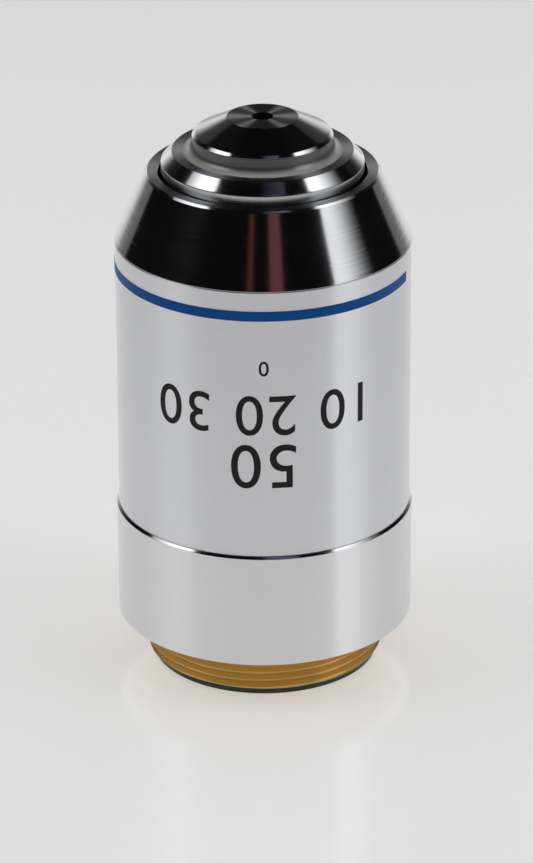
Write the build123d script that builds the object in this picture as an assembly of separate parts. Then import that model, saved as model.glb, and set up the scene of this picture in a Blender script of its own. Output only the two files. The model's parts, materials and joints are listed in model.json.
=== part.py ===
from build123d import *
import os
from math import sqrt

# High-power microscope objective with a spring-loaded nose, standing on its thread end.
# Millimetres, +Z up along the optical axis, origin at the centre of the foot.
# The fixed half screws into the nosepiece. The nose, with every lens, slides down into it.

# Fits between pieces
seat_fit = 0.02          # radial clearance of a piece that is screwed or cemented in its seat
slide_fit = 0.03         # radial clearance where the lens barrel slides
touch_gap = 0.02         # between faces that rest on each other but aren't joined

# Mounting thread: 4/5 inch by 36 turns to the inch, shown at its crest
thread_r = 10.12
thread_depth = 0.52      # crest to the groove under the shoulder
thread_chamfer = 0.3
thread_relief = 0.6      # width of that groove
thread_wall = 1.7        # groove to the bore
mount_h = 4.3            # foot to shoulder

# Black baffle ring that closes the thread end
foot_ring_step = 0.05    # how far it stands out past the thread's root
foot_ring_h = 0.5
baffle_h = 3.0
baffle_wall = 1.38

# Lens barrel, from the glass outwards
glass_r = 5.2            # widest glass
cell_wall = 1.76
neck_wall = 0.75
barrel_wall = 1.3
barrel_chamfer = 0.3
barrel_front_h = 2.3
barrel_front_gap = 0.12  # round the front cell's spigot
flange_h = 1.6
travel = 2.5
rear_clear = 0.5         # left under the barrel when the nose is pushed right in
tail_recess = 0.6        # barrel's rear end to the lock ring
lock_ring_h = 1.5
lock_ring_step = 0.3
lock_ring_wall = 1.7
stop_disc_h = 0.6
stop_disc_r = 3.8

# Body tube that carries the casing and guides the lens barrel
spring_space = 2.28
body_wall = 1.1
guide_foot_h = 0.7       # shoulder to the bottom of the guide bore
guide_h = 9.0
body_end_gap = 0.3       # between the body tube and the shell's spigot
stop_ring_h = 2.6
stop_ring_gap = 0.15     # round the barrel, inside the stop ring

# Outer casing
sleeve_wall = 0.8
sleeve_h = 23.87
sleeve_relief = 0.25     # depth of the turned relief inside the sleeve
sleeve_seat_h = 4.0      # plain seat left at each end of the sleeve's bore
collar_step = 0.2        # how far the collar stands out past the sleeve
collar_h = 10.1
band_film = 0.03         # thickness of the printed colour band
band_w = 0.86
band_drop = 1.65         # sleeve's top edge down to the band
band_gap_from = -18.0    # bearing of the band's right-hand end, degrees from +X
band_gap = 28.0

# Polished conical shell round the nose
shell_h = 6.09
shell_rim_w = 0.92
shell_bevel = 0.19
shell_gap = 0.22         # between the nose and the shell's bore
shell_bore_bevel = 0.12
shell_wall = 1.4
shell_spigot_h = 4.0
shell_spigot_wall = 0.9

# Nose. With the heights above, these put the tip 44.7 mm from the shoulder,
# as an objective that focuses at 45 mm needs.
skirt_wall = 0.75
skirt_h = 4.9
plate_h = 1.18
nose_standout = 1.72     # the flat above the shell's rim
nose_chamfer = 0.93
nose_edge_r = 0.2
flat_w = 1.53            # chamfer to the foot of the boss
cove_r = 0.9
boss_h = 1.29
boss_taper = 0.16
boss_wall = 1.3
cone_h = 1.63
cone_edge_h = 0.2
cone_edge_r = 0.25
tip_r = 2.96
pinhole_r = 0.88
pinhole_h = 0.3
front_wall = 1.0         # round the meniscus, in the front cell's spigot
front_foot_gap = 0.8     # front cell to the first cell of the stack

# Guide pin and spring
pin_r = 0.9
pin_h = 6.2              # shoulder to the pin
pin_play = 0.05
slot_depth = 0.7
slot_clear = 0.15
wire_r = 0.4
spring_turns = 5
spanner_w = 1.2
spanner_depth = 0.8
spanner_wall = 0.4       # slot to the outside of its ring
overcut = 1.0            # how far a cutter reaches past the piece

# Glass. A surface radius is positive where the surface bulges towards the nose, and the radii
# follow the widest glass. The second row of each group is the thinnest glass of each element,
# on the axis or at its rim.
front_lens_r = 2.05
front_lens_rim = 0.4
meniscus_drop = 3.4      # tip to the meniscus's seat
meniscus_surfaces = (-1.54 * glass_r, -1.06 * glass_r)
meniscus_glass = (0.8,)
singlet_inset = 0.3      # how much smaller than the widest glass
singlet_surfaces = (-4.8 * glass_r, -2.1 * glass_r)
singlet_glass = (1.3,)
doublet_surfaces = (3.1 * glass_r, -1.9 * glass_r, -5.8 * glass_r)
doublet_glass = (0.7, 0.9)
triplet_surfaces = (3.5 * glass_r, 2.1 * glass_r, -2.1 * glass_r, -4.2 * glass_r)
triplet_glass = (1.2, 0.9, 1.2)
rear_inset = 0.4
upper_meniscus_surfaces = (2.1 * glass_r, -5.8 * glass_r, 1.9 * glass_r)
upper_meniscus_glass = (0.8, 1.0)
lower_meniscus_surfaces = (-1.9 * glass_r, 4.8 * glass_r, -2.3 * glass_r)
lower_meniscus_glass = (1.0, 0.5)
cement = 0.03            # between cemented elements
glass_air = 0.3          # glass to each end of its cell
cell_lip = 0.5           # how far a cell's lip covers the glass

# Heights up the axis
shoulder_z = mount_h
collar_top_z = shoulder_z + collar_h
shell_z = collar_top_z + sleeve_h
rim_z = shell_z + shell_h
flat_z = rim_z + nose_standout
cone_foot_z = flat_z + boss_h
tip_z = cone_foot_z + cone_h
guide_foot_z = shoulder_z + guide_foot_h
spring_seat_z = guide_foot_z + guide_h
spigot_z = shell_z - shell_spigot_h
body_top_z = spigot_z - body_end_gap
stop_z = body_top_z - stop_ring_h
plate_z = flat_z - plate_h
skirt_z = plate_z - skirt_h
stack_top_z = plate_z - barrel_front_h
flange_top_z = stop_z - touch_gap
flange_z = flange_top_z - flange_h
tail_z = guide_foot_z + travel + rear_clear
lock_ring_z = tail_z + tail_recess
stack_z = lock_ring_z + lock_ring_h
pin_z = shoulder_z + pin_h

# Radii from the glass outwards
cell_r = glass_r + seat_fit + cell_wall
lens_bore_r = cell_r + seat_fit
lock_ring_r = lens_bore_r + lock_ring_step
neck_r = lens_bore_r + neck_wall
barrel_r = lens_bore_r + barrel_wall
guide_bore_r = barrel_r + slide_fit
body_bore_r = barrel_r + spring_space
flange_r = body_bore_r - slide_fit
body_r = body_bore_r + body_wall
sleeve_bore_r = body_r + seat_fit
sleeve_r = sleeve_bore_r + sleeve_wall
collar_r = sleeve_r + collar_step
nose_r = neck_r + seat_fit + skirt_wall
shell_bore_r = nose_r + shell_gap
shell_rim_r = shell_bore_r + shell_rim_w
shell_spigot_r = sleeve_bore_r - seat_fit
shell_spigot_bore_r = shell_spigot_r - shell_spigot_wall

# Radii of the nose from its skirt inwards, and of the thread end from the thread inwards
flat_r = nose_r - nose_chamfer
boss_foot_r = flat_r - flat_w
cone_r = boss_foot_r - boss_taper
front_spigot_r = cone_r - boss_wall
meniscus_r = front_spigot_r - front_wall
thread_root_r = thread_r - thread_depth
foot_ring_r = thread_root_r + foot_ring_step
rear_bore_r = thread_root_r - thread_wall
baffle_plug_r = rear_bore_r - seat_fit
baffle_aperture_r = baffle_plug_r - baffle_wall


def turned(*outline):
    """Solid turned from an outline in (radius, height). A third number rounds that corner."""
    corners = [(r, z) for r, z, *_ in outline]
    profile = make_face(Polyline(*corners, close=True).edges())
    for r, z, *rounding in outline:
        if rounding:
            corner = profile.vertices().sort_by_distance((r, z, 0))[0]
            profile = fillet(corner, rounding[0])
    return revolve(Plane.XZ * profile, Axis.Z)


def ring(inner_r, outer_r, bottom_z, top_z):
    return turned((inner_r, bottom_z), (outer_r, bottom_z), (outer_r, top_z), (inner_r, top_z))


def block(inner_r, outer_r, width, bottom_z, top_z):
    """Cutter on the +X side, square across the radius."""
    size = (outer_r - inner_r, width, top_z - bottom_z)
    return Pos((inner_r + outer_r) / 2, 0, (bottom_z + top_z) / 2) * Box(*size)


def spanner_slots(inner_r, outer_r, bottom_z, top_z):
    """Two slots in the end face of a ring, open to its bore and closed to its outside."""
    slot = block(inner_r - overcut, outer_r - spanner_wall, spanner_w, bottom_z, top_z)
    return slot + Rot(0, 0, 180) * slot


def sag(surface_r, r):
    """Height lost by a spherical surface between its pole and radius r."""
    if surface_r == 0:
        return 0
    depth = abs(surface_r) - sqrt(surface_r**2 - r**2)
    return depth if surface_r > 0 else -depth


def lens(top_z, top_surface, bottom_z, bottom_surface, edge_r):
    """One glass element between two spherical surfaces, whose poles are at the given heights."""
    def arc(pole_z, surface_r):
        points = [(r, pole_z - sag(surface_r, r)) for r in (0, edge_r / 2, edge_r)]
        return ThreePointArc(*points)

    top = arc(top_z, top_surface)
    bottom = arc(bottom_z, bottom_surface)
    sides = [Line(top @ 1, bottom @ 1), Line(bottom @ 0, top @ 0)]
    return revolve(Plane.XZ * make_face([top, bottom, *sides]), Axis.Z)


def axial(surfaces, thinnest, edge_r):
    """Thickness of each element on the axis, from its thinnest glass."""
    pairs = zip(surfaces, surfaces[1:], thinnest)
    return [glass + max(0, sag(top, edge_r) - sag(bottom, edge_r)) for top, bottom, glass in pairs]


def cemented(pole_z, surfaces, thinnest, edge_r):
    """The elements of a group from the nose down, each a cement film below the last."""
    elements = []
    for above, below, thickness in zip(surfaces, surfaces[1:], axial(surfaces, thinnest, edge_r)):
        elements.append(lens(pole_z, above, pole_z - thickness, below, edge_r))
        pole_z -= thickness + cement
    return elements


def group_span(surfaces, thinnest, edge_r):
    """Height of the glass above its first pole, and from its highest to its lowest point."""
    above = max(0, -sag(surfaces[0], edge_r))
    poles = sum(axial(surfaces, thinnest, edge_r)) + cement * (len(thinnest) - 1)
    below = max(0, sag(surfaces[-1], edge_r))
    return above, above + poles + below


def lens_cell(top_z, surfaces, thinnest, edge_r):
    """Ring that holds a group against its lip, the group's elements, and the ring's foot."""
    above, height = group_span(surfaces, thinnest, edge_r)
    pole_z = top_z - glass_air - above
    foot_z = top_z - 2 * glass_air - height
    aperture_r = edge_r - cell_lip
    touch_r = aperture_r if surfaces[0] > 0 else edge_r
    lip_z = pole_z - sag(surfaces[0], touch_r) + touch_gap
    pocket_r = edge_r + seat_fit
    cell = turned(
        (pocket_r, foot_z), (cell_r, foot_z), (cell_r, top_z),
        (aperture_r, top_z), (aperture_r, lip_z), (pocket_r, lip_z),
    )
    return cell, cemented(pole_z, surfaces, thinnest, edge_r), foot_z


def mounting_body():
    """Brass body: mounting thread, shoulder, guide bore and the tube that holds the casing."""
    body = turned(
        (rear_bore_r, foot_ring_h), (thread_r - thread_chamfer, foot_ring_h),
        (thread_r, foot_ring_h + thread_chamfer), (thread_r, shoulder_z - thread_relief),
        (thread_root_r, shoulder_z - thread_relief), (thread_root_r, shoulder_z),
        (body_r, shoulder_z), (body_r, body_top_z), (body_bore_r, body_top_z),
        (body_bore_r, spring_seat_z), (guide_bore_r, spring_seat_z),
        (guide_bore_r, guide_foot_z), (rear_bore_r, guide_foot_z),
    )
    pin_hole = Rot(0, 90, 0) * Cylinder(pin_r + seat_fit, 2 * body_r)
    return body - Pos(body_r, 0, pin_z) * pin_hole


def rear_baffle():
    """Black ring screwed into the thread end. The objective stands on it."""
    baffle = turned(
        (baffle_aperture_r, 0), (foot_ring_r, 0), (foot_ring_r, foot_ring_h),
        (baffle_plug_r, foot_ring_h), (baffle_plug_r, baffle_h), (baffle_aperture_r, baffle_h),
    )
    return baffle - spanner_slots(baffle_aperture_r, baffle_plug_r, -overcut, spanner_depth)


def base_collar():
    """Slightly wider collar at the foot of the casing, with a fine chamfer under the sleeve."""
    return turned(
        (sleeve_bore_r, shoulder_z), (collar_r, shoulder_z),
        (collar_r, collar_top_z - collar_step), (sleeve_r, collar_top_z),
        (sleeve_bore_r, collar_top_z),
    )


def outer_sleeve():
    relief_r = sleeve_bore_r + sleeve_relief
    lower_z = collar_top_z + sleeve_seat_h
    upper_z = shell_z - sleeve_seat_h
    return turned(
        (sleeve_bore_r, collar_top_z), (sleeve_r, collar_top_z), (sleeve_r, shell_z),
        (sleeve_bore_r, shell_z), (sleeve_bore_r, upper_z), (relief_r, upper_z - sleeve_relief),
        (relief_r, lower_z + sleeve_relief), (sleeve_bore_r, lower_z),
    )


def colour_band():
    """Printed magnification band: a film on the sleeve with an open stretch on its right side."""
    top_z = shell_z - band_drop
    film = Polyline(
        (sleeve_r, top_z - band_w), (sleeve_r + band_film, top_z - band_w),
        (sleeve_r + band_film, top_z), (sleeve_r, top_z), close=True,
    )
    section = Plane.XZ * make_face(film.edges())
    printed = revolve(section, Axis.Z, 360 - band_gap)
    return Rot(0, 0, band_gap_from + band_gap) * printed


def nose_shell():
    """Polished cone, hollow inside, with a bevelled rim and a spigot that enters the sleeve."""
    slope = (sleeve_r - shell_rim_r - shell_bevel) / (shell_h - shell_bevel)
    inner_foot_z = shell_z + (sleeve_r - shell_wall - shell_spigot_bore_r) / slope
    inner_top_z = shell_z + (sleeve_r - shell_wall - shell_bore_r) / slope
    return turned(
        (shell_spigot_bore_r, spigot_z), (shell_spigot_r, spigot_z), (shell_spigot_r, shell_z),
        (sleeve_r, shell_z), (shell_rim_r + shell_bevel, rim_z - shell_bevel),
        (shell_rim_r, rim_z), (shell_bore_r + shell_bore_bevel, rim_z),
        (shell_bore_r, rim_z - shell_bore_bevel), (shell_bore_r, inner_top_z),
        (shell_spigot_bore_r, inner_foot_z),
    )


def stop_ring():
    """Threaded ring at the top of the body tube that keeps the barrel in."""
    inner_r = barrel_r + stop_ring_gap
    outer_r = body_bore_r - seat_fit
    slots = spanner_slots(inner_r, outer_r, body_top_z - spanner_depth, body_top_z + overcut)
    return ring(inner_r, outer_r, stop_z, body_top_z) - slots


def guide_pin():
    """Pin fixed in the body, whose end runs in the barrel's slot."""
    inner_r = barrel_r - slot_depth + slot_clear
    pin = Cylinder(pin_r, body_r - inner_r)
    return Pos((inner_r + body_r) / 2, 0, pin_z) * Rot(0, 90, 0) * pin


def return_spring():
    """Compression spring round the barrel, from the body's shoulder to the barrel's flange."""
    coil_r = (barrel_r + body_bore_r) / 2
    height = flange_z - spring_seat_z - 2 * wire_r
    path = Helix(height / spring_turns, height, coil_r)
    wire = Plane(path @ 0, z_dir=path % 0) * Circle(wire_r)
    return Pos(0, 0, spring_seat_z + wire_r) * sweep(wire, path, is_frenet=True)


def lens_barrel():
    """Sliding tube that carries the nose in front and the stack of lens cells inside."""
    front_bore_r = front_spigot_r + barrel_front_gap
    barrel = turned(
        (lock_ring_r, tail_z), (barrel_r - barrel_chamfer, tail_z),
        (barrel_r, tail_z + barrel_chamfer), (barrel_r, flange_z), (flange_r, flange_z),
        (flange_r, flange_top_z), (barrel_r, flange_top_z), (barrel_r, skirt_z),
        (neck_r, skirt_z), (neck_r, plate_z), (front_bore_r, plate_z),
        (front_bore_r, stack_top_z), (lens_bore_r, stack_top_z), (lens_bore_r, stack_z),
        (lock_ring_r, stack_z),
    )
    slot_r = pin_r + pin_play
    slot = block(
        barrel_r - slot_depth, barrel_r + overcut, 2 * slot_r,
        pin_z - slot_r - slot_clear, pin_z + slot_r + slot_clear + travel,
    )
    return barrel - slot


def nose_ring():
    """Front of the sliding nose: boss with a cove at its foot, flat, chamfer and long skirt."""
    bore_r = front_spigot_r + seat_fit
    skirt_bore_r = neck_r + seat_fit
    return turned(
        (skirt_bore_r, skirt_z), (nose_r, skirt_z), (nose_r, flat_z - nose_chamfer, nose_edge_r),
        (flat_r, flat_z), (boss_foot_r, flat_z, cove_r), (cone_r, cone_foot_z),
        (bore_r, cone_foot_z), (bore_r, plate_z), (skirt_bore_r, plate_z),
    )


def front_cell():
    """Polished cone of the nose, which holds the front lens behind a pinhole."""
    lens_seat_z = tip_z - pinhole_h
    pocket_foot_z = lens_seat_z - front_lens_rim - front_lens_r / 2
    pocket_r = front_lens_r + seat_fit
    foot_z = stack_top_z + front_foot_gap
    return turned(
        (meniscus_r + seat_fit, foot_z), (front_spigot_r, foot_z),
        (front_spigot_r, cone_foot_z), (cone_r, cone_foot_z),
        (cone_r, cone_foot_z + cone_edge_h, cone_edge_r),
        (tip_r, tip_z), (pinhole_r, tip_z), (pinhole_r, lens_seat_z),
        (pocket_r, lens_seat_z), (pocket_r, pocket_foot_z),
        (meniscus_r - cell_lip, tip_z - meniscus_drop),
        (meniscus_r + seat_fit, tip_z - meniscus_drop),
    )


def front_lens():
    """Half ball with a short cylindrical rim, flat towards the specimen."""
    top_z = tip_z - pinhole_h - touch_gap
    rim_foot_z = top_z - front_lens_rim
    halfway = front_lens_r * sqrt(0.5)
    dome = ThreePointArc(
        (front_lens_r, rim_foot_z), (halfway, rim_foot_z - halfway),
        (0, rim_foot_z - front_lens_r),
    )
    sides = Polyline(dome @ 1, (0, top_z), (front_lens_r, top_z), dome @ 0)
    return revolve(Plane.XZ * make_face([dome, *sides.edges()]), Axis.Z)


def meniscus_lens():
    seat_z = tip_z - meniscus_drop - touch_gap
    pole_z = seat_z + sag(meniscus_surfaces[0], meniscus_r)
    return cemented(pole_z, meniscus_surfaces, meniscus_glass, meniscus_r)[0]


def lock_ring():
    """Threaded ring that clamps the stack of cells in the barrel."""
    outer_r = lock_ring_r - seat_fit
    inner_r = lock_ring_r - lock_ring_wall
    slots = spanner_slots(inner_r, outer_r, lock_ring_z - overcut, lock_ring_z + spanner_depth)
    return ring(inner_r, outer_r, lock_ring_z, stack_z) - slots


def optics_stack():
    """Cells, glass, spacer and aperture stop that fill the barrel between its lip and lock ring."""
    pieces = {}
    pieces["singlet_cell"], (pieces["singlet_lens"],), foot_z = lens_cell(
        stack_top_z, singlet_surfaces, singlet_glass, glass_r - singlet_inset)
    pieces["doublet_cell"], doublet, foot_z = lens_cell(
        foot_z, doublet_surfaces, doublet_glass, glass_r)
    pieces["doublet_crown"], pieces["doublet_flint"] = doublet
    pieces["triplet_cell"], triplet, spacer_top_z = lens_cell(
        foot_z, triplet_surfaces, triplet_glass, glass_r)
    pieces["triplet_front"], pieces["triplet_middle"], pieces["triplet_rear"] = triplet

    rear_r = glass_r - rear_inset
    lower_h = group_span(lower_meniscus_surfaces, lower_meniscus_glass, rear_r)[1]
    lower_top_z = stack_z + lower_h + 2 * glass_air
    pieces["lower_meniscus_cell"], lower, _ = lens_cell(
        lower_top_z, lower_meniscus_surfaces, lower_meniscus_glass, rear_r)
    pieces["lower_meniscus_flint"], pieces["lower_meniscus_crown"] = lower
    stop_top_z = lower_top_z + stop_disc_h
    pieces["aperture_stop"] = ring(stop_disc_r, cell_r, lower_top_z, stop_top_z)
    upper_h = group_span(upper_meniscus_surfaces, upper_meniscus_glass, rear_r)[1]
    upper_top_z = stop_top_z + upper_h + 2 * glass_air
    pieces["upper_meniscus_cell"], upper, _ = lens_cell(
        upper_top_z, upper_meniscus_surfaces, upper_meniscus_glass, rear_r)
    pieces["upper_meniscus_crown"], pieces["upper_meniscus_flint"] = upper
    pieces["spacer_ring"] = ring(rear_r, cell_r, upper_top_z, spacer_top_z)
    return pieces


pieces = {
    "mounting_body": mounting_body(),
    "rear_baffle": rear_baffle(),
    "base_collar": base_collar(),
    "outer_sleeve": outer_sleeve(),
    "colour_band": colour_band(),
    "nose_shell": nose_shell(),
    "stop_ring": stop_ring(),
    "guide_pin": guide_pin(),
    "return_spring": return_spring(),
    "lens_barrel": lens_barrel(),
    "nose_ring": nose_ring(),
    "front_cell": front_cell(),
    "front_lens": front_lens(),
    "meniscus_lens": meniscus_lens(),
    "lock_ring": lock_ring(),
    **optics_stack(),
}

os.makedirs("parts", exist_ok=True)
for name, solid in pieces.items():
    export_step(solid, f"parts/{name}.step")
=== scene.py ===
import json
import math

import bmesh
import bpy
import numpy as np
from mathutils import Matrix, Vector


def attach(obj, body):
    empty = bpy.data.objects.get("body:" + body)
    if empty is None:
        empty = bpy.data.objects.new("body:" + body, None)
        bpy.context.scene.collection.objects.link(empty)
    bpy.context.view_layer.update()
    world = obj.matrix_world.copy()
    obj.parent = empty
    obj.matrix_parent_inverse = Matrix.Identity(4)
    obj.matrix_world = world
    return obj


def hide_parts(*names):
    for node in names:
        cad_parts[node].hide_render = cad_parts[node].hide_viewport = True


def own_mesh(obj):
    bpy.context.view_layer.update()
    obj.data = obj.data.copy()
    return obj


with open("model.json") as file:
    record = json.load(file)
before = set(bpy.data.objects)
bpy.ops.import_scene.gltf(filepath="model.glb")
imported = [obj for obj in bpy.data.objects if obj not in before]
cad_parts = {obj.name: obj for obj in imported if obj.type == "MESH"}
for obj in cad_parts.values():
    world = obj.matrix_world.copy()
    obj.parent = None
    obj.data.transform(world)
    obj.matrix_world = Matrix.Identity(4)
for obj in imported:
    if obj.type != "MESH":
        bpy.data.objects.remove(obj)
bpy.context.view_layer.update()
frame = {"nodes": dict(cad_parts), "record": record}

MM = 0.001

# The turned forms in millimetres, as in the solids: heights from the foot, radii from the axis.
SHOULDER_Z = 4.3
COLLAR_TOP_Z = 14.4
SHELL_Z = 38.27
RIM_Z = 44.36
FLAT_Z = 46.08
CONE_FOOT_Z = 47.37
TIP_Z = 49.0
PLATE_Z = 44.9
SKIRT_Z = 40.0
SPIGOT_Z = 34.27
BODY_TOP_Z = 33.97
SLEEVE_R = 12.5
SLEEVE_BORE_R = 11.7
COLLAR_R = 12.7
BODY_R = 11.68
BODY_BORE_R = 10.58
GUIDE_BORE_R = 8.33
THREAD_R = 10.12
THREAD_ROOT_R = 9.6
THREAD_PITCH = 25.4 / 36
THREAD_DEPTH = 0.45
NOSE_R = 8.52
SPRING_Z = 14.0
FLANGE_Z = 29.75
CONE_R = 5.9
DISC_R = 2.96
PINHOLE_R = 0.88
RIM_R = 9.66
SHELL_BORE_R = 8.74
SPIGOT_BORE_R = 10.78
FOOT_RING_R = 9.65


def smooth_mesh(name, points, faces):
    """Object at the origin from points in millimetres."""
    mesh = bpy.data.meshes.new(name)
    mesh.from_pydata((points * MM).tolist(), [], faces)
    mesh.polygons.foreach_set("use_smooth", np.ones(len(faces), bool))
    mesh.update()
    piece = bpy.data.objects.new(name, mesh)
    bpy.context.collection.objects.link(piece)
    return piece


def closed_grid(name, grid):
    """Surface over a grid of points that closes on itself in both directions."""
    rows, columns = grid.shape[:2]
    i, j = np.meshgrid(np.arange(rows), np.arange(columns), indexing="ij")
    down, right = (i + 1) % rows, (j + 1) % columns
    corners = [i * columns + j, i * columns + right, down * columns + right, down * columns + j]
    faces = np.stack(corners, axis=-1).reshape(-1, 4)
    return smooth_mesh(name, grid.reshape(-1, 3), faces.tolist())


def rounded_outline(corners, edge_r):
    """Closed outline in (r, z) with every corner rounded.

    A corner is (r, z) or (r, z, radius). Its arc is tangent to both sides, and a pair of points
    just outside the arc keeps the sides flat in the shading.
    """
    path = np.array([corner[:2] for corner in corners], float)
    radii = np.array([corner[2] if len(corner) > 2 else edge_r for corner in corners])
    before = path - np.roll(path, 1, axis=0)
    after = np.roll(path, -1, axis=0) - path
    run_in = np.hypot(*before.T)
    run_out = np.hypot(*after.T)
    before /= run_in[:, None]
    after /= run_out[:, None]
    cross = before[:, 0] * after[:, 1] - before[:, 1] * after[:, 0]
    turn = np.arctan2(cross, (before * after).sum(1))
    reach = np.minimum(radii * np.tan(np.abs(turn) / 2), 0.45 * np.minimum(run_in, run_out))
    radius = reach / np.maximum(np.tan(np.abs(turn) / 2), 1e-9)
    side = np.stack([-before[:, 1], before[:, 0]], axis=-1) * np.sign(turn)[:, None]
    centre = path - before * reach[:, None] + side * radius[:, None]
    pieces = []
    for k in range(len(path)):
        steps = 4 + int(radius[k] * abs(turn[k]) / 0.06)
        swing = np.linspace(0, 1, steps)[:, None] * turn[k]
        out = -side[k] * radius[k]
        arc = centre[k] + out * np.cos(swing) + np.array([-out[1], out[0]]) * np.sin(swing)
        margin = min(0.04, 0.04 * min(run_in[k], run_out[k]))
        lead = path[k] - before[k] * (reach[k] + margin)
        tail = path[k] + after[k] * (reach[k] + margin)
        pieces += [lead[None], arc, tail[None]]
    return np.concatenate(pieces)


def turned(name, corners, edge_r=0.05, columns=288, shape=None):
    """A turned piece: its rounded outline in (r, z) carried round the axis.

    shape(r, z, turn) may return another radius for each point of the grid.
    """
    outline = rounded_outline(corners, edge_r) if shape is None else np.array(corners, float)
    turn = np.linspace(0, 2 * np.pi, columns, endpoint=False)
    r = np.repeat(outline[:, 0:1], columns, axis=1)
    z = np.repeat(outline[:, 1:2], columns, axis=1)
    if shape is not None:
        r = shape(r, z, turn[None, :])
    grid = np.stack([r * np.cos(turn), r * np.sin(turn), z], axis=-1)
    return closed_grid(name, grid[:, ::-1])


def coil(name, coil_r, wire_r, low, high, turns, steps=480, sides=14):
    """Round wire wound round the axis: its middle is at coil_r (cos t, sin t), rising evenly."""
    t = np.linspace(0, 2 * np.pi * turns, steps)
    rise = (high - low) / t[-1]
    outward = np.stack([np.cos(t), np.sin(t), 0 * t], axis=-1)
    middle = coil_r * outward + np.stack([0 * t, 0 * t, low + rise * t], axis=-1)
    along = np.stack([-coil_r * np.sin(t), coil_r * np.cos(t), rise + 0 * t], axis=-1)
    side = np.cross(along / np.hypot(coil_r, rise), outward)
    a = np.linspace(0, 2 * np.pi, sides, endpoint=False)[:, None]
    ring = outward[:, None] * np.cos(a) + side[:, None] * np.sin(a)
    points = (middle[:, None] + wire_r * ring).reshape(-1, 3)
    i, j = np.meshgrid(np.arange(steps - 1), np.arange(sides), indexing="ij")
    following = (j + 1) % sides
    here, there = i * sides, (i + 1) * sides
    corners = [here + j, here + following, there + following, there + j]
    faces = np.stack(corners, axis=-1).reshape(-1, 4).tolist()
    ends = [list(range(sides))[::-1], list(range((steps - 1) * sides, steps * sides))]
    return smooth_mesh(name, points, faces + ends)


def thread_radius(r, z, turn):
    """Right-hand thread: below the crest by its depth times a rounded triangle wave.

    The wave's phase is the height over the pitch less the bearing over a full turn. It only
    cuts into the crest cylinder, and the chamfer at the foot cuts into it in turn.
    """
    phase = (z / THREAD_PITCH - turn / (2 * np.pi)) % 1
    wave = np.clip(1.3 * np.abs(2 * phase - 1) - 0.15, 0, 1)
    wave = wave * wave * (3 - 2 * wave) * 0.35 + wave * 0.65
    cut = THREAD_R - THREAD_DEPTH * wave
    threaded = (r > THREAD_ROOT_R + 0.02) & (z < SHOULDER_Z - 0.55)
    return np.where(threaded, np.minimum(r, cut), r)


def node(tree, kind, **settings):
    """New shader node with its settings."""
    made = tree.nodes.new(kind)
    for key, value in settings.items():
        setattr(made, key, value)
    return made


def math_node(tree, operation, a, b=None, c=None):
    """Output of a maths node, whose inputs are numbers or the outputs of other nodes."""
    made = node(tree, "ShaderNodeMath", operation=operation)
    for slot, value in zip(made.inputs, (a, b, c)):
        if isinstance(value, (int, float)):
            slot.default_value = value
        elif value is not None:
            tree.links.new(value, slot)
    return made.outputs[0]


def blank(name, **inputs):
    """New material with its Principled shader, and the uniform numbers set on its sockets."""
    material = bpy.data.materials.new(name)
    material.use_nodes = True
    tree = material.node_tree
    shader = tree.nodes["Principled BSDF"]
    for key, value in inputs.items():
        socket = "IOR" if key == "ior" else key.replace("_", " ").title()
        shader.inputs[socket].default_value = value
    return material, tree, shader


def lathe_coordinates(tree):
    """Object coordinates, whole and split, and the distance along a turned profile (z less r)."""
    place = node(tree, "ShaderNodeTexCoord").outputs["Object"]
    split = node(tree, "ShaderNodeSeparateXYZ")
    tree.links.new(place, split.inputs[0])
    x, y, z = split.outputs
    squares = [math_node(tree, "MULTIPLY", value, value) for value in (x, y)]
    r = math_node(tree, "SQRT", math_node(tree, "ADD", *squares))
    along = math_node(tree, "SUBTRACT", z, r)
    return place, x, y, z, along


def tool_marks(tree, x, y, along, fineness, length):
    """Noise drawn out round the axis: fineness is in marks per metre along the profile."""
    stretched = node(tree, "ShaderNodeCombineXYZ")
    tree.links.new(math_node(tree, "MULTIPLY", x, length), stretched.inputs[0])
    tree.links.new(math_node(tree, "MULTIPLY", y, length), stretched.inputs[1])
    tree.links.new(math_node(tree, "MULTIPLY", along, fineness), stretched.inputs[2])
    noise = node(tree, "ShaderNodeTexNoise")
    noise.inputs["Scale"].default_value = 1.0
    noise.inputs["Detail"].default_value = 3.0
    tree.links.new(stretched.outputs[0], noise.inputs["Vector"])
    return noise.outputs["Fac"]


def spread(tree, value, low, high):
    """value from 0 to 1 spread over low to high."""
    return math_node(tree, "MULTIPLY_ADD", value, high - low, low)


def ramp(tree, value, start, end, low, high):
    """Smooth step from low, at the start value, to high, at the end value."""
    step = node(tree, "ShaderNodeMapRange", interpolation_type="SMOOTHSTEP")
    for slot, number in zip(("From Min", "From Max", "To Min", "To Max"), (start, end, low, high)):
        step.inputs[slot].default_value = number
    tree.links.new(value, step.inputs["Value"])
    return step.outputs[0]


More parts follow.
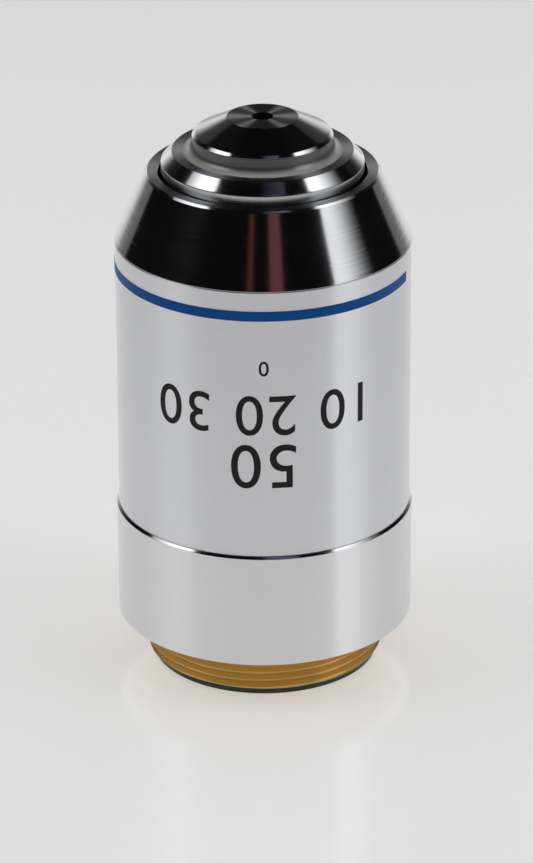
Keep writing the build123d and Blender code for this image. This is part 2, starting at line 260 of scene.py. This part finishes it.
def turned_metal(name, colour, rough, marks, anisotropic, bump=0.0, tint=0.04):
    """Turned or brushed metal: rings of tool marks vary its colour, roughness and height."""
    material, tree, shader = blank(name, metallic=1.0, anisotropic=anisotropic)
    shader.inputs["Anisotropic Rotation"].default_value = 0.25
    place, x, y, _, along = lathe_coordinates(tree)
    fine = tool_marks(tree, x, y, along, marks, 150.0)
    broad = tool_marks(tree, x, y, along, marks / 9, 60.0)
    mixed = math_node(tree, "ADD", math_node(tree, "MULTIPLY", fine, 0.65),
                      math_node(tree, "MULTIPLY", broad, 0.35))
    tree.links.new(spread(tree, mixed, rough[0], rough[1]), shader.inputs["Roughness"])
    blend = node(tree, "ShaderNodeMix", data_type="RGBA")
    blend.inputs["A"].default_value = (*[c * (1 - tint) for c in colour], 1)
    blend.inputs["B"].default_value = (*[min(1, c * (1 + tint)) for c in colour], 1)
    tree.links.new(mixed, blend.inputs["Factor"])
    tree.links.new(blend.outputs["Result"], shader.inputs["Base Color"])
    axial = node(tree, "ShaderNodeVectorMath", operation="CROSS_PRODUCT")
    axial.inputs[0].default_value = (0, 0, 1)
    tree.links.new(place, axial.inputs[1])
    tree.links.new(axial.outputs[0], shader.inputs["Tangent"])
    if bump:
        height = node(tree, "ShaderNodeBump")
        height.inputs["Strength"].default_value = bump
        height.inputs["Distance"].default_value = 0.00002
        tree.links.new(mixed, height.inputs["Height"])
        tree.links.new(height.outputs[0], shader.inputs["Normal"])
    return material


def plain_material(name, colour, rough, metallic=0.0, coat=0.0, mottle=0.15, scale=900.0):
    """Painted, blackened or drawn surface with faint blotches in colour and roughness."""
    material, tree, shader = blank(name, metallic=metallic)
    shader.inputs["Coat Weight"].default_value = coat
    place = node(tree, "ShaderNodeTexCoord").outputs["Object"]
    noise = node(tree, "ShaderNodeTexNoise")
    noise.inputs["Scale"].default_value = scale
    noise.inputs["Detail"].default_value = 4.0
    tree.links.new(place, noise.inputs["Vector"])
    blotch = noise.outputs["Fac"]
    tree.links.new(spread(tree, blotch, rough * 0.8, rough * 1.25), shader.inputs["Roughness"])
    blend = node(tree, "ShaderNodeMix", data_type="RGBA")
    blend.inputs["A"].default_value = (*[c * (1 - mottle) for c in colour], 1)
    blend.inputs["B"].default_value = (*[min(1, c * (1 + mottle)) for c in colour], 1)
    tree.links.new(blotch, blend.inputs["Factor"])
    tree.links.new(blend.outputs["Result"], shader.inputs["Base Color"])
    return material


def cove_with_painted_light():
    """Turned metal with a pale matte coat whose thickness is painted light: thick and pale at the
    cove's up-facing foot, gone up the boss wall.
    """
    material = turned_metal("nose_cove_painted_light", (0.20, 0.203, 0.205), (0.3, 0.4), 12000, 0.3, 0.1)
    tree = material.node_tree
    shader = tree.nodes["Principled BSDF"]
    z = lathe_coordinates(tree)[3]
    # Painted light: the pale coat thins with height, so the cove's up-facing foot reads lit and the
    # wall above it reads shaded.
    painted_light = ramp(tree, z, (FLAT_Z + 0.06) * MM, (FLAT_Z + 0.62) * MM, 0.92, 0.04)
    base = shader.inputs["Base Color"].links[0].from_socket
    blend = node(tree, "ShaderNodeMix", data_type="RGBA")
    blend.inputs["B"].default_value = (0.66, 0.665, 0.62, 1)
    tree.links.new(painted_light, blend.inputs["Factor"])
    tree.links.new(base, blend.inputs["A"])
    tree.links.new(blend.outputs["Result"], shader.inputs["Base Color"])
    tree.links.new(math_node(tree, "SUBTRACT", 1.0, painted_light), shader.inputs["Metallic"])
    return material


def coated_glass():
    """Clear glass with a coating that turns from green to violet towards its edges."""
    material, tree, shader = blank("optical_glass_coated", roughness=0.02, ior=1.55)
    shader.inputs["Transmission Weight"].default_value = 1.0
    shader.inputs["Coat Weight"].default_value = 0.4
    fresnel = node(tree, "ShaderNodeLayerWeight")
    fresnel.inputs["Blend"].default_value = 0.3
    blend = node(tree, "ShaderNodeMix", data_type="RGBA")
    blend.inputs["A"].default_value = (0.86, 0.93, 0.90, 1)
    blend.inputs["B"].default_value = (0.62, 0.48, 0.72, 1)
    tree.links.new(fresnel.outputs["Facing"], blend.inputs["Factor"])
    tree.links.new(blend.outputs["Result"], shader.inputs["Base Color"])
    return material


satin = turned_metal("satin_chrome_brushed", (0.92, 0.925, 0.955), (0.31, 0.37), 9000, 0.93, 0.15)
# Painted light: a brighter copy of the satin chrome, standing in for the collar's brighter
# reflection.
collar_satin_painted_light = turned_metal("satin_chrome_collar_painted_light", (0.97, 0.975, 1.0), (0.31, 0.37), 9000, 0.93,
                            0.15)
polished = turned_metal("polished_chrome_cone", (0.57, 0.575, 0.585), (0.06, 0.18), 3500, 0.3, 0.8)
chamfer_metal = turned_metal("chamfer_turned", (0.60, 0.605, 0.61), (0.10, 0.16), 9000, 0.5, 0.1)
nose_satin = turned_metal("nose_turned", (0.60, 0.605, 0.61), (0.20, 0.28), 12000, 0.5, 0.1)
nose_cove = cove_with_painted_light()
cone_metal = turned_metal("cone_turned", (0.52, 0.525, 0.53), (0.12, 0.18), 14000, 0.5, 0.1)
disc_metal = turned_metal("disc_turned", (0.42, 0.425, 0.44), (0.34, 0.42), 14000, 1.0, 0.1)
flat_metal = turned_metal("flat_turned", (0.55, 0.555, 0.57), (0.32, 0.40), 14000, 1.0, 0.1)
brass = turned_metal("brass_thread_turned", (0.72, 0.50, 0.20), (0.22, 0.38), 12000, 0.4, 0.2, 0.12)
bright_barrel = turned_metal("barrel_metal_turned", (0.62, 0.56, 0.42), (0.25, 0.4), 8000, 0.4, 0.1)
black = plain_material("black_ring_lacquer", (0.008, 0.022, 0.018), 0.38, coat=0.1)
blackened = plain_material("cell_blackened", (0.02, 0.02, 0.02), 0.5, metallic=0.6)
steel = plain_material("spring_steel_drawn", (0.5, 0.5, 0.5), 0.3, metallic=1.0)
blue = plain_material("band_print_blue", (0.003, 0.105, 0.41), 0.4)
blue.node_tree.nodes["Principled BSDF"].inputs["Specular IOR Level"].default_value = 0.1
ink = plain_material("number_ink", (0.010, 0.010, 0.011), 0.45)
ink.node_tree.nodes["Principled BSDF"].inputs["Specular IOR Level"].default_value = 0.25
glass = coated_glass()

by_slot = {
    "satin_chrome": satin, "polished_chrome": polished, "brass_thread": brass,
    "black_ring": black, "lens_cells": blackened, "barrel_metal": bright_barrel,
    "optical_glass": glass, "spring_steel": steel, "band_print": blue,
}
for part in frame["record"]["subparts"]:
    solid = frame["nodes"][part["node"]]
    solid.data.materials.clear()
    solid.data.materials.append(by_slot[part["material_slot"]])


def finish_band(piece, material, low, high, inner=0.0, outer=99.0):
    """Gives the faces whose middle is between two heights and two radii another finish."""
    mesh = piece.data
    mesh.materials.append(material)
    middle = np.empty(len(mesh.polygons) * 3)
    mesh.polygons.foreach_get("center", middle)
    x, y, z = middle.reshape(-1, 3).T / MM
    index = np.zeros(len(mesh.polygons), np.int32)
    mesh.polygons.foreach_get("material_index", index)
    radius = np.hypot(x, y)
    within = (z > low) & (z < high) & (radius > inner) & (radius < outer)
    index[within] = len(mesh.materials) - 1
    mesh.polygons.foreach_set("material_index", index)


def dress(piece, material, body, slot, *nodes):
    """Gives a piece its material and body, and hides the solids that it stands for; slot is not
    used.
    """
    piece.data.materials.append(material)
    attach(piece, body)
    if nodes:
        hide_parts(*nodes)


collar = turned("collar_turned", [
    (SLEEVE_BORE_R, SHOULDER_Z), (COLLAR_R, SHOULDER_Z, 0.06),
    (COLLAR_R, COLLAR_TOP_Z - 0.2, 0.04), (SLEEVE_R, COLLAR_TOP_Z, 0.03),
    (SLEEVE_BORE_R, COLLAR_TOP_Z),
])
dress(collar, collar_satin_painted_light, "mount", "satin_chrome", "base_collar")
finish_band(collar, polished, COLLAR_TOP_Z - 0.2, COLLAR_TOP_Z + 1)

sleeve = turned("sleeve_turned", [
    (SLEEVE_BORE_R, COLLAR_TOP_Z), (SLEEVE_R, COLLAR_TOP_Z, 0.1), (SLEEVE_R, SHELL_Z, 0.05),
    (SLEEVE_BORE_R, SHELL_Z), (SLEEVE_BORE_R, SPIGOT_Z), (11.95, 34.02), (11.95, 18.65),
    (SLEEVE_BORE_R, 18.4),
])
dress(sleeve, satin, "mount", "satin_chrome", "outer_sleeve")

shell = turned("shell_turned", [
    (SPIGOT_BORE_R, SPIGOT_Z), (BODY_R, SPIGOT_Z), (BODY_R, SHELL_Z), (SLEEVE_R, SHELL_Z, 0.06),
    (RIM_R + 0.19, RIM_Z - 0.19, 0.04), (RIM_R, RIM_Z, 0.04), (8.86, RIM_Z, 0.03),
    (SHELL_BORE_R, RIM_Z - 0.12, 0.03), (SHELL_BORE_R, 43.50), (SPIGOT_BORE_R, 38.98),
])
dress(shell, polished, "mount", "polished_chrome", "nose_shell")
finish_band(shell, flat_metal, RIM_Z - 0.01, RIM_Z + 1)

nose = turned("nose_turned", [
    (7.77, SKIRT_Z), (NOSE_R, SKIRT_Z), (NOSE_R, FLAT_Z - 0.93, 0.2), (7.59, FLAT_Z, 0.05),
    (6.06, FLAT_Z, 0.9), (CONE_R, CONE_FOOT_Z, 0.04), (4.62, CONE_FOOT_Z), (4.62, PLATE_Z),
    (7.77, PLATE_Z),
])
dress(nose, nose_satin, "nose", "satin_chrome", "nose_ring")
# The cove and boss wall take the pale coat painted on as light.
finish_band(nose, nose_cove, FLAT_Z - 0.02, CONE_FOOT_Z - 0.01)
finish_band(nose, chamfer_metal, FLAT_Z - 0.9, FLAT_Z - 0.02, 7.0)
finish_band(nose, flat_metal, FLAT_Z - 0.02, FLAT_Z + 0.02, 6.9)

tip = turned("tip_turned", [
    (3.62, 43.4), (4.6, 43.4), (4.6, CONE_FOOT_Z), (CONE_R, CONE_FOOT_Z),
    (CONE_R, CONE_FOOT_Z + 0.05, 0.1), (CONE_R - 0.24, CONE_FOOT_Z + 0.3, 0.3),
    (DISC_R, TIP_Z, 0.05), (PINHOLE_R, TIP_Z, 0.04),
    (PINHOLE_R, 48.7, 0.03), (2.07, 48.7, 0.03), (2.07, 47.275), (3.1, 45.6), (3.62, 45.6),
], edge_r=0.03)
dress(tip, cone_metal, "nose", "polished_chrome", "front_cell")
finish_band(tip, disc_metal, TIP_Z - 0.02, TIP_Z + 1, PINHOLE_R + 0.02)
finish_band(tip, chamfer_metal, CONE_FOOT_Z + 0.04, CONE_FOOT_Z + 0.31, 5.6)
# The pinhole's bore takes the blackened finish of the lens cells, which also paints shade into the
# hole to keep it dark.
finish_band(tip, blackened, 48.0, TIP_Z + 1, outer=PINHOLE_R + 0.02)

foot = turned("foot_ring_turned", [
    (6.5, 0.0), (FOOT_RING_R, 0.0, 0.08), (FOOT_RING_R, 0.5, 0.05), (7.88, 0.5), (7.88, 3.0),
    (6.5, 3.0),
])
dress(foot, black, "mount", "black_ring", "rear_baffle")

thread_rows = np.linspace(0.5, 3.7, 120)
flank = np.interp(thread_rows, [0.5, 0.8, 3.7], [THREAD_R - 0.3, THREAD_R, THREAD_R])
body_outline = np.concatenate([
    [(7.9, 0.5), (9.4, 0.5)], np.stack([flank, thread_rows], -1),
    [(THREAD_ROOT_R, 3.75), (THREAD_ROOT_R, 4.25), (THREAD_ROOT_R, 4.3), (9.65, 4.3),
     (BODY_R - 0.05, 4.3), (BODY_R, 4.3), (BODY_R, 4.35), (BODY_R, 33.9), (BODY_R, BODY_TOP_Z),
     (BODY_R - 0.05, BODY_TOP_Z), (BODY_BORE_R + 0.05, BODY_TOP_Z), (BODY_BORE_R, BODY_TOP_Z),
     (BODY_BORE_R, 33.9), (BODY_BORE_R, 14.05), (BODY_BORE_R, 14.0), (10.5, 14.0), (8.4, 14.0),
     (GUIDE_BORE_R, 14.0), (GUIDE_BORE_R, 13.9), (GUIDE_BORE_R, 5.1), (GUIDE_BORE_R, 5.0),
     (8.28, 5.0), (7.95, 5.0), (7.9, 5.0), (7.9, 4.9), (7.9, 0.6)],
])
body = turned("threaded_body", body_outline, columns=360, shape=thread_radius)
dress(body, brass, "mount", "brass_thread", "mounting_body")


# The spring stands between the body's shoulder and the barrel's flange, and shortens with the nose.
spring = coil("spring_wound", 9.44, 0.4, SPRING_Z + 0.4, FLANGE_Z - 0.42, 5)
dress(spring, steel, "mount", "spring_steel", "return_spring")
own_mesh(spring)


# Printed numbers: the font's size for a letter's height, and the ink's own sizes.
FONT_SIZE_PER_HEIGHT = 1.38
INK_THICKNESS = 0.012
INK_LIFT = 0.008
STROKE_WEIGHT = 0.012
WRAP_STEP = 0.35


def printed(name, text, height, bearing, z):
    """Flat letters wrapped round the sleeve: the width becomes a bearing, the height stays.

    They read upside down, as on an objective that hangs from its thread. The bearing is in
    degrees from the camera's side, and the text's middle is at (bearing, z).
    """
    curve = bpy.data.curves.new(name, "FONT")
    curve.body = text
    curve.align_x = "CENTER"
    curve.align_y = "CENTER"
    curve.size = height * FONT_SIZE_PER_HEIGHT
    curve.space_character = 1.08
    curve.extrude = INK_THICKNESS / 2
    curve.offset = STROKE_WEIGHT
    curve.resolution_u = 6
    flat = bpy.data.objects.new(name, curve)
    bpy.context.collection.objects.link(flat)
    graph = bpy.context.evaluated_depsgraph_get()
    mesh = bpy.data.meshes.new_from_object(flat.evaluated_get(graph))
    bpy.data.objects.remove(flat)
    cut = bmesh.new()
    cut.from_mesh(mesh)
    bmesh.ops.remove_doubles(cut, verts=cut.verts, dist=1e-5)
    width = max(abs(v.co.x) for v in cut.verts)
    for line in np.arange(-width, width, WRAP_STEP):
        everything = cut.verts[:] + cut.edges[:] + cut.faces[:]
        bmesh.ops.bisect_plane(cut, geom=everything, plane_co=(line, 0, 0), plane_no=(1, 0, 0))
    bmesh.ops.triangulate(cut, faces=cut.faces)
    cut.to_mesh(mesh)
    cut.free()
    flat_points = np.empty(len(mesh.vertices) * 3)
    mesh.vertices.foreach_get("co", flat_points)
    u, v, w = flat_points.reshape(-1, 3).T
    turn = math.radians(bearing - 90) - u / SLEEVE_R
    reach = SLEEVE_R + INK_LIFT + w
    wrapped = np.stack([reach * np.cos(turn), reach * np.sin(turn), z - v], axis=-1) * MM
    mesh.vertices.foreach_set("co", wrapped.ravel())
    mesh.update()
    letters = bpy.data.objects.new(name, mesh)
    bpy.context.collection.objects.link(letters)
    dress(letters, ink, "mount", "black_ring")


printed("numbers_large", "50", 4.1, 0, 22.9)
printed("numbers_row", "10 20 30", 3.7, 0.8, 27.5)
printed("number_index", "0", 1.35, 0, 31.6)


LIT_POINT = Vector((0, 0, 0.025))


def at(azimuth, elevation, distance):
    """Point seen from the lit point at an azimuth from the camera's side (right is positive)."""
    a, e = math.radians(azimuth), math.radians(elevation)
    step = Vector((math.sin(a) * math.cos(e), -math.cos(a) * math.cos(e), math.sin(e)))
    return LIT_POINT + distance * step


def softbox(name, azimuth, elevation, distance, width, height, power, colour=(1, 1, 1)):
    """Rectangular lamp that faces the lit point."""
    light = bpy.data.lights.new(name, "AREA")
    light.shape = "RECTANGLE"
    light.size = width
    light.size_y = height
    light.energy = power
    light.color = colour
    lamp = bpy.data.objects.new(name, light)
    lamp.location = at(azimuth, elevation, distance)
    facing = (LIT_POINT - lamp.location).to_track_quat("-Z", "Y")
    lamp.rotation_euler = facing.to_euler()
    bpy.context.collection.objects.link(lamp)
    return lamp


def staged(name, corners, material):
    """Flat sheet of the stage between four corners in metres, mapped from 0 to 1 both ways."""
    mesh = bpy.data.meshes.new(name)
    mesh.from_pydata(corners, [], [(0, 1, 2, 3)])
    mesh.uv_layers.new(name="sheet").data.foreach_set("uv", [0, 0, 0, 1, 1, 1, 1, 0])
    mesh.materials.append(material)
    sheet = bpy.data.objects.new(name, mesh)
    bpy.context.collection.objects.link(sheet)


def window(name, corners, distance, brightness, fade_start, fade_end):
    """Glowing panel between four (azimuth, elevation) corners, sharp at its near edge.

    The corners go near foot, near top, far top, far foot. It glows by brightness[0] at its foot
    and brightness[1] at its top, and fades towards the far edge.
    """
    material, tree, shader = blank(name, roughness=1.0)
    shader.inputs["Base Color"].default_value = (0, 0, 0, 1)
    shader.inputs["Emission Color"].default_value = (0.98, 0.99, 1.0, 1)
    parts = node(tree, "ShaderNodeSeparateXYZ")
    tree.links.new(node(tree, "ShaderNodeTexCoord").outputs["UV"], parts.inputs[0])
    rise = spread(tree, parts.outputs[1], brightness[0], brightness[1])
    fade = ramp(tree, parts.outputs[0], fade_start, 1.0, 1.0, fade_end)
    tree.links.new(math_node(tree, "MULTIPLY", rise, fade), shader.inputs["Emission Strength"])
    places = [at(azimuth, elevation, distance) for azimuth, elevation in corners]
    staged(name, places, material)


camera_place = Vector((0, -356.976, 181.954)) * MM
camera_target = Vector((0.212, 0, 20.244)) * MM
ahead = (camera_target - camera_place).normalized()
right = ahead.cross(Vector((0, 0, 1))).normalized()
up = right.cross(ahead)
roll = math.radians(0.279)
across = right * math.cos(roll) - up * math.sin(roll)
upward = right * math.sin(roll) + up * math.cos(roll)
lens = bpy.data.cameras.new("photo_camera")
lens.sensor_fit = "VERTICAL"
lens.sensor_height = 36
lens.lens = 190.96
lens.clip_start = 0.01
lens.clip_end = 20
camera = bpy.data.objects.new("photo_camera", lens)
camera.matrix_world = Matrix((
    (across.x, upward.x, -ahead.x, camera_place.x),
    (across.y, upward.y, -ahead.y, camera_place.y),
    (across.z, upward.z, -ahead.z, camera_place.z),
    (0, 0, 0, 1),
))
bpy.context.collection.objects.link(camera)
bpy.context.scene.camera = camera

# The table glows near the object and fades out, and the backdrop is seen only in reflections.
floor_material, floor_tree, floor_shader = blank("floor_white", roughness=0.14)
floor_shader.inputs["Base Color"].default_value = (0.80, 0.80, 0.79, 1)
floor_shader.inputs["Emission Color"].default_value = (1.0, 1.0, 0.995, 1)
floor_distance = node(floor_tree, "ShaderNodeVectorMath", operation="LENGTH")
floor_place = node(floor_tree, "ShaderNodeTexCoord").outputs["Object"]
floor_tree.links.new(floor_place, floor_distance.inputs[0])
floor_glow = ramp(floor_tree, floor_distance.outputs["Value"], 0.07, 0.55, 0.44, 0.0)
floor_tree.links.new(floor_glow, floor_shader.inputs["Emission Strength"])
floor_shader.inputs["Specular IOR Level"].default_value = 0.4
staged("floor", [(-2, -2, 0), (2, -2, 0), (2, 2, 0), (-2, 2, 0)], floor_material)

wall_material, wall_tree, wall_shader = blank("backdrop_grey", roughness=0.9)
wall_shader.inputs["Base Color"].default_value = (0.05, 0.05, 0.05, 1)
wall_shader.inputs["Emission Color"].default_value = (1.0, 1.0, 1.0, 1)
split = node(wall_tree, "ShaderNodeSeparateXYZ")
wall_tree.links.new(node(wall_tree, "ShaderNodeTexCoord").outputs["Object"], split.inputs[0])
height_fade = ramp(wall_tree, split.outputs[2], 0.12, 0.5, 1.1, 0.06)
across_wall = math_node(wall_tree, "ABSOLUTE", split.outputs[0])
side_fade = ramp(wall_tree, across_wall, 0.05, 0.25, 0.25, 1.0)
end_fade = ramp(wall_tree, across_wall, 0.35, 0.75, 1.0, 0.15)
sideways_fade = math_node(wall_tree, "MULTIPLY", side_fade, end_fade)
glow = math_node(wall_tree, "MULTIPLY", height_fade, sideways_fade)
wall_tree.links.new(glow, wall_shader.inputs["Emission Strength"])
wall_corners = [(-1.2, 0.9, 0), (1.2, 0.9, 0), (1.2, 0.9, 0.9), (-1.2, 0.9, 0.9)]
staged("backdrop", wall_corners, wall_material)

right_corners = [(53, 10), (76, 58), (128, 46), (88, 10)]
left_corners = [(-62, 28), (-77, 57), (-124, 48), (-100, 28)]
window("window_right", right_corners, 0.7, (1.1, 2.0), 0.2, 0.05)
window("window_left", left_corners, 0.7, (1.7, 1.9), 0.5, 0.4)
fill = softbox("overhead_fill", 180, 82, 1.6, 1.6, 1.6, 7.0)
fill.visible_glossy = False
softbox("cool_window", 20, 63, 0.9, 0.28, 0.10, 0.022, (0.62, 0.60, 1.0))
softbox("warm_card_right", 10.4, 24, 0.8, 0.13, 0.30, 0.019, (1.0, 0.36, 0.38))
softbox("warm_card_left", -10.6, 24, 0.8, 0.05, 0.30, 0.0045, (1.0, 0.33, 0.18))
# The plain view transform keeps the metals as dark and as bright as they are.
bpy.context.scene.view_settings.view_transform = "Standard"

world = bpy.data.worlds.new("dim_room")
world.use_nodes = True
world.node_tree.nodes["Background"].inputs[0].default_value = (0.004, 0.004, 0.0045, 1)
world.node_tree.nodes["Background"].inputs[1].default_value = 1.0
bpy.context.scene.world = world
